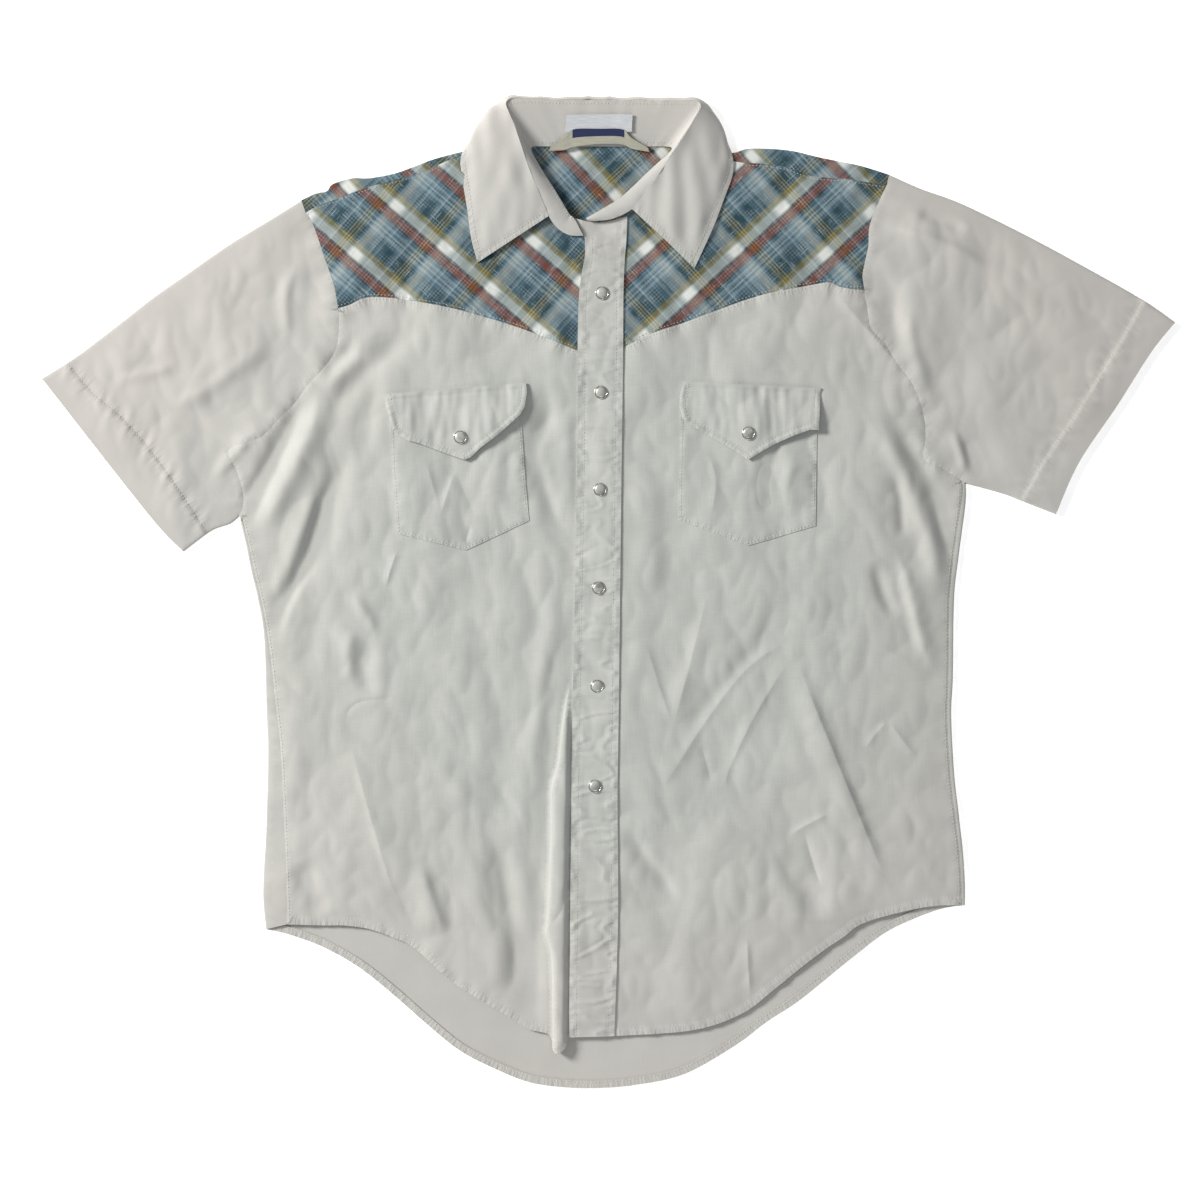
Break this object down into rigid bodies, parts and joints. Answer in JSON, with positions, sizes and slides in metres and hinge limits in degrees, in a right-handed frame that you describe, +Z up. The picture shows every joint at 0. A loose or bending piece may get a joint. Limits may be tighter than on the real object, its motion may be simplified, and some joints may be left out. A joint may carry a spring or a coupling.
{
  "type": "western snap shirt",
  "caption": "Short-sleeved western snap shirt laid flat with the front up: light grey cloth, plaid pointed yokes, flap pockets and a snap placket.",
  "frame": {"origin": "middle of the laid-out shirt's bounding box, on the surface that it lies on", "axes": "+X to the viewer's right across the sleeves, +Y to the collar, +Z up out of the surface"},
  "size_m": [0.9732, 0.8521, 0.017],
  "materials": {
    "grey_cloth": "matt, fine plain weave",
    "plaid_cloth": "matt, woven plaid on the bias",
    "label_cloth": "satin weave",
    "pearl": "pearly cap in a bright metal ring"
  },
  "bodies": {
    "root": {"back": "grey_cloth", "back_yoke": "plaid_cloth", "front_right": "grey_cloth", "front_left": "grey_cloth", "front_yoke_right": "plaid_cloth", "front_yoke_left": "plaid_cloth", "placket": "grey_cloth", "sleeve_right": "grey_cloth", "sleeve_left": "grey_cloth", "collar_stand": "grey_cloth", "collar": "grey_cloth", "pocket_right": "grey_cloth", "pocket_left": "grey_cloth", "flap_right": "grey_cloth", "flap_left": "grey_cloth", "label_care": "label_cloth", "label_loop": "label_cloth", "snap_1": "pearl", "snap_2": "pearl", "snap_3": "pearl", "snap_4": "pearl", "snap_5": "pearl", "snap_6": "pearl", "snap_flap_right": "pearl", "snap_flap_left": "pearl"}
  },
  "joints": []
}
